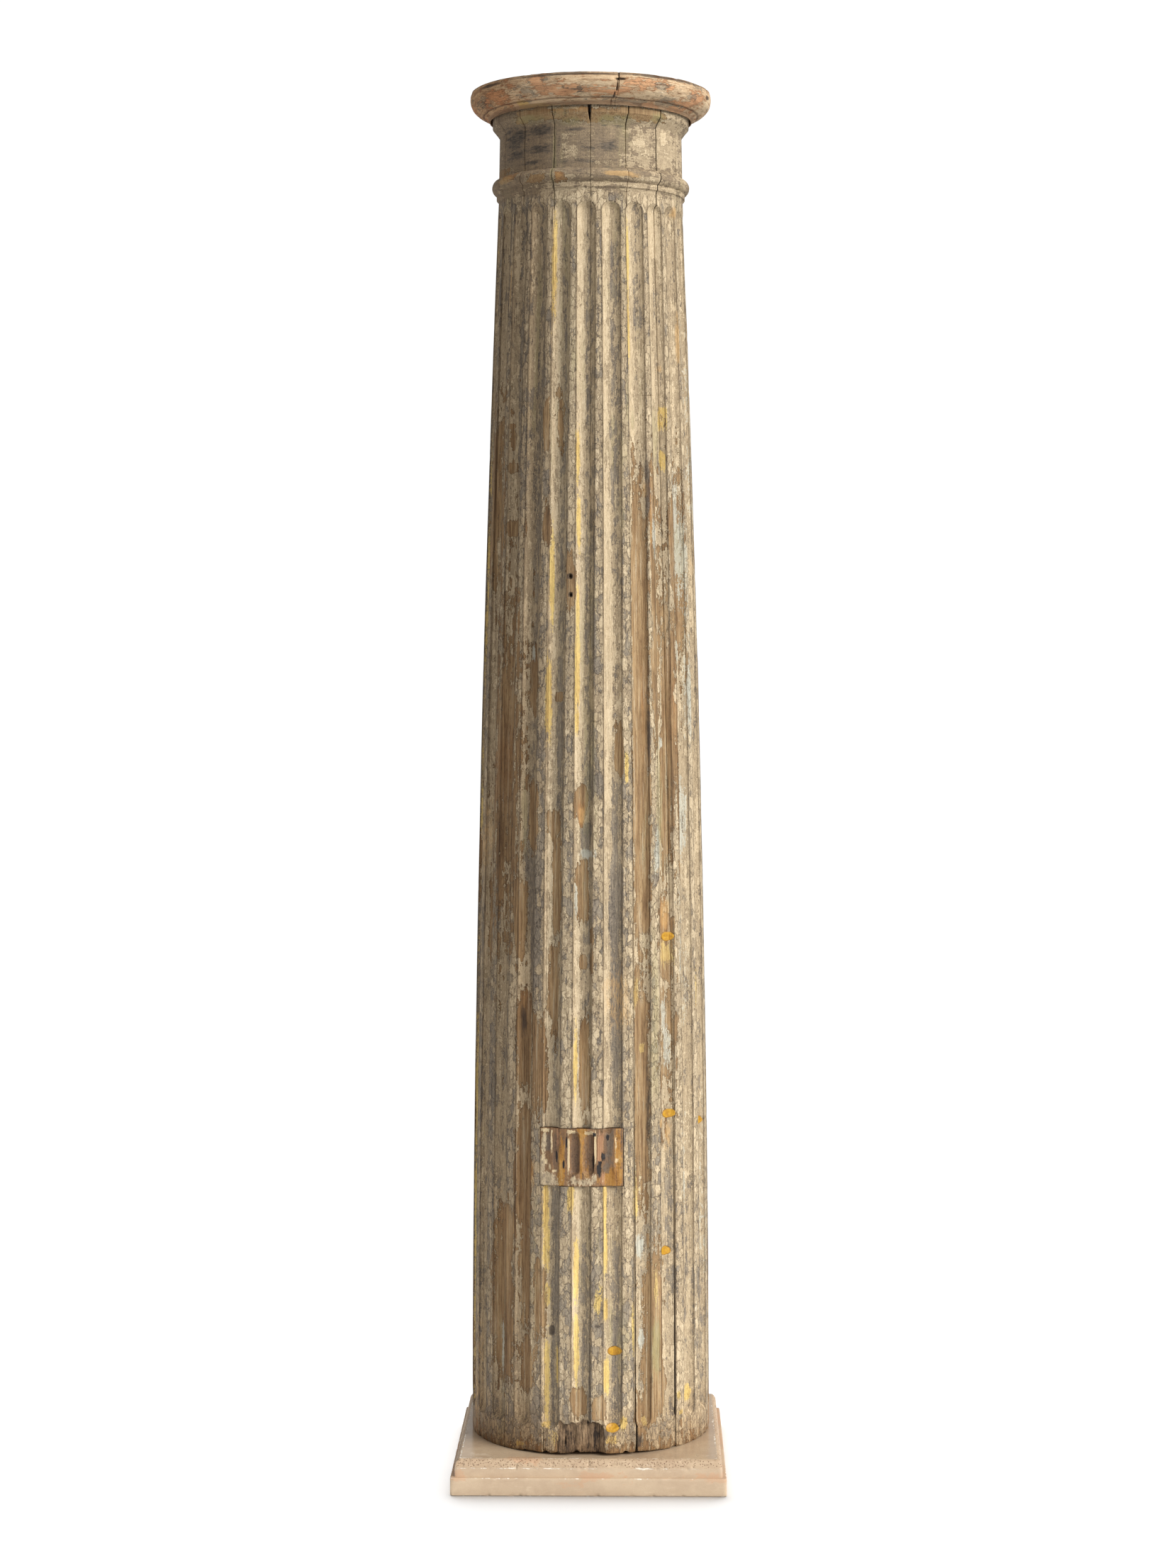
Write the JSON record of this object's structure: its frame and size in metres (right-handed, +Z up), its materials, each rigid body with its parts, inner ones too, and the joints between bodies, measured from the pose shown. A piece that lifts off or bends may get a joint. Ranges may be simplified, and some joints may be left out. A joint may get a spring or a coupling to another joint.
{
  "type": "painted wooden column",
  "caption": "Tall tapered and fluted wooden column with a ring capital, flaking cream paint, on a square moulded stone plinth.",
  "frame": {"origin": "middle of the plinth's underside", "axes": "+Z up along the column's axis, -Y out of the front, where the let-in repair is, +X to the viewer's right"},
  "size_m": [0.4594, 0.4594, 2.3669],
  "materials": {
    "flaking_paint": "flaking cream paint over grey and ochre, bare wood showing",
    "weathered_paint": "worn cream and blue-grey paint on dark wood",
    "patch_wood": "amber-stained wood with dark scorch marks",
    "amber_filler": "satin amber filler",
    "pale_stone": "honed pinkish-beige pitted limestone"
  },
  "bodies": {
    "root": {"plinth": "pale_stone", "stave_01": "flaking_paint", "stave_02": "flaking_paint", "stave_03": "flaking_paint", "stave_04": "flaking_paint", "stave_05": "flaking_paint", "stave_06": "flaking_paint", "stave_07": "flaking_paint", "stave_08": "flaking_paint", "stave_09": "flaking_paint", "stave_10": "flaking_paint", "stave_11": "flaking_paint", "stave_12": "flaking_paint", "stave_13": "flaking_paint", "stave_14": "flaking_paint", "stave_15": "flaking_paint", "stave_16": "flaking_paint", "capital_segment_1": "weathered_paint", "capital_segment_2": "weathered_paint", "capital_segment_3": "weathered_paint", "capital_segment_4": "weathered_paint", "capital_segment_5": "weathered_paint", "capital_segment_6": "weathered_paint", "let_in_patch": "patch_wood", "filler_plug_1": "amber_filler", "filler_plug_2": "amber_filler", "filler_plug_3": "amber_filler", "filler_plug_4": "amber_filler", "filler_plug_5": "amber_filler", "filler_plug_6": "amber_filler", "filler_plug_7": "amber_filler"}
  },
  "joints": []
}
